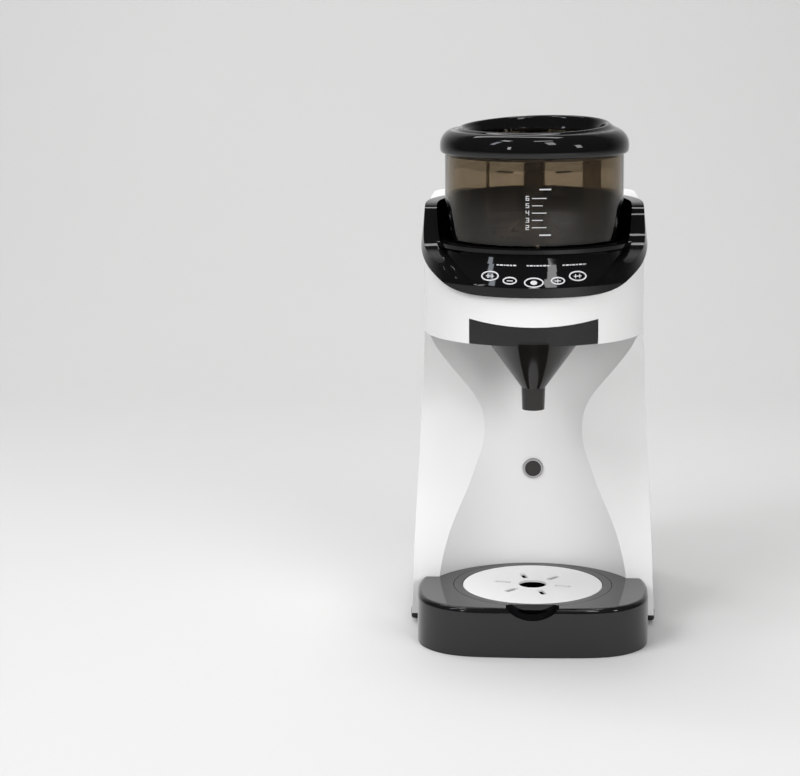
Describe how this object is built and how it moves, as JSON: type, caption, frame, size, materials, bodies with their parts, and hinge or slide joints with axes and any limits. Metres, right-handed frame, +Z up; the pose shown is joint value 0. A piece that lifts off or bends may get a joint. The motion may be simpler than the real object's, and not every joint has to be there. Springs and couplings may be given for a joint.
{
  "type": "baby formula maker",
  "caption": "Countertop baby formula maker: round powder hopper over a recessed bottle bay, pull-out mixing funnel, drip stand, rear water tank and control collar.",
  "frame": {"origin": "centre of the footprint at the surface that it stands on", "axes": "+Z up, -Y toward the user, +X to the user's right"},
  "size_m": [0.2072, 0.3122, 0.42],
  "materials": {
    "white_case": "satin moulded",
    "black_gloss": "high gloss",
    "charcoal": "satin moulded",
    "stand_black": "gloss moulded",
    "white_plate": "fine satin",
    "smoke_clear": "clear smoke-brown plastic",
    "smoke_part": "clear smoke-brown plastic",
    "smoke_dark": "dark smoke plastic",
    "tank_clear": "clear plastic",
    "grey_plastic": "moulded",
    "black_rubber": "matt rubber",
    "seal_grey": "silicone",
    "silicone_hose": "silicone hose",
    "steel": "plated",
    "motor_metal": "plated can",
    "heater_alloy": "die cast",
    "brass_bush": "turned",
    "gear_acetal": "acetal",
    "board_green": "solder mask",
    "inlet_black": "moulded",
    "bezel_metal": "satin",
    "sensor_window": "dark window",
    "white_print": "printed"
  },
  "bodies": {
    "housing": {"front_housing": "white_case", "rear_housing": "white_case", "base_pan": "grey_plastic", "rubber_feet": "black_rubber", "case_screws": "steel", "control_collar": "black_gloss", "touch_rings": "white_print", "sensor_bezel": "bezel_metal", "bottle_sensor": "sensor_window", "drawer_rails": "grey_plastic", "outlet_gasket": "seal_grey", "shaft_bush": "brass_bush", "drive_motor": "motor_metal", "motor_bracket": "steel", "powder_chute": "grey_plastic", "water_spout": "seal_grey", "flow_heater": "heater_alloy", "heater_cutout": "grey_plastic", "water_pump": "grey_plastic", "inlet_hose": "silicone_hose", "pump_hose": "silicone_hose", "heater_hose": "silicone_hose", "tank_valve_seat": "grey_plastic", "seat_seal": "seal_grey", "control_board": "board_green", "power_board": "board_green", "power_inlet": "inlet_black", "inlet_pins": "brass_bush"},
    "bottle_stand": {"bottle_stand": "stand_black"},
    "drip_cup": {"drip_cup": "stand_black"},
    "bottle_plate": {"bottle_plate": "white_plate"},
    "funnel_drawer": {"funnel_drawer": "charcoal"},
    "mixing_funnel": {"mixing_funnel": "smoke_dark"},
    "hopper": {"hopper_vessel": "smoke_clear"},
    "dosing_wheel": {"dosing_wheel": "smoke_part", "agitator": "smoke_part"},
    "lid_dish": {"lid_dish": "smoke_clear", "lid_gasket": "seal_grey"},
    "lid_ring": {"lid_ring": "black_gloss"},
    "drive_shaft": {"drive_shaft": "steel", "drive_gear": "gear_acetal"},
    "motor_pinion": {"motor_pinion": "gear_acetal", "motor_shaft": "steel"},
    "water_tank": {"water_tank": "tank_clear", "tank_lid_pin": "steel"},
    "tank_lid": {"tank_lid": "white_case"},
    "tank_valve": {"tank_valve": "seal_grey", "valve_spring": "steel"}
  },
  "joints": [
    {"name": "stand_slide", "type": "slide", "parent": "housing", "child": "bottle_stand", "axis": [0, -1, 0], "range_m": [0, 0.12]},
    {"name": "drip_cup_lift", "type": "slide", "parent": "bottle_stand", "child": "drip_cup", "axis": [0, 0, 1], "range_m": [0, 0.05]},
    {"name": "plate_lift", "type": "slide", "parent": "drip_cup", "child": "bottle_plate", "axis": [0, 0, 1], "range_m": [0, 0.03]},
    {"name": "drawer_slide", "type": "slide", "parent": "housing", "child": "funnel_drawer", "axis": [0, -1, 0], "range_m": [0, 0.142]},
    {"name": "funnel_lift", "type": "slide", "parent": "funnel_drawer", "child": "mixing_funnel", "axis": [0, 0, 1], "range_m": [0, 0.009]},
    {"name": "hopper_lift", "type": "slide", "parent": "housing", "child": "hopper", "axis": [0, 0, 1], "range_m": [0, 0.1]},
    {"name": "drive_spin", "type": "hinge", "parent": "housing", "child": "drive_shaft", "pos_m": [0, -0.0635, 0.31], "axis": [0, 0, 1], "continuous": true},
    {"name": "pinion_spin", "type": "hinge", "parent": "housing", "child": "motor_pinion", "pos_m": [0, -0.03912, 0.31], "axis": [0, 0, 1], "continuous": true},
    {"name": "dosing_spin", "type": "hinge", "parent": "hopper", "child": "dosing_wheel", "pos_m": [0, -0.0635, 0.333], "axis": [0, 0, 1], "continuous": true},
    {"name": "lid_lift", "type": "slide", "parent": "hopper", "child": "lid_dish", "axis": [0, 0, 1], "range_m": [0, 0.06]},
    {"name": "lid_twist", "type": "hinge", "parent": "lid_dish", "child": "lid_ring", "pos_m": [0, -0.0635, 0.4], "axis": [0, 0, 1], "range_deg": [0, 25]},
    {"name": "tank_lift", "type": "slide", "parent": "housing", "child": "water_tank", "axis": [0, 0, 1], "range_m": [0, 0.165]},
    {"name": "tank_lid_hinge", "type": "hinge", "parent": "water_tank", "child": "tank_lid", "pos_m": [0, 0.1435, 0.3426], "axis": [-1, 0, 0], "range_deg": [0, 95]},
    {"name": "tank_valve_lift", "type": "slide", "parent": "water_tank", "child": "tank_valve", "axis": [0, 0, 1], "range_m": [0, 0.003], "stiffness_N_per_m": 60, "springref_m": -0.004, "deforming": ["valve_spring"]}
  ],
  "couplings": [
    {"joint": "pinion_spin", "follows": "drive_spin", "ratio": -2},
    {"joint": "dosing_spin", "follows": "drive_spin", "ratio": 1}
  ]
}
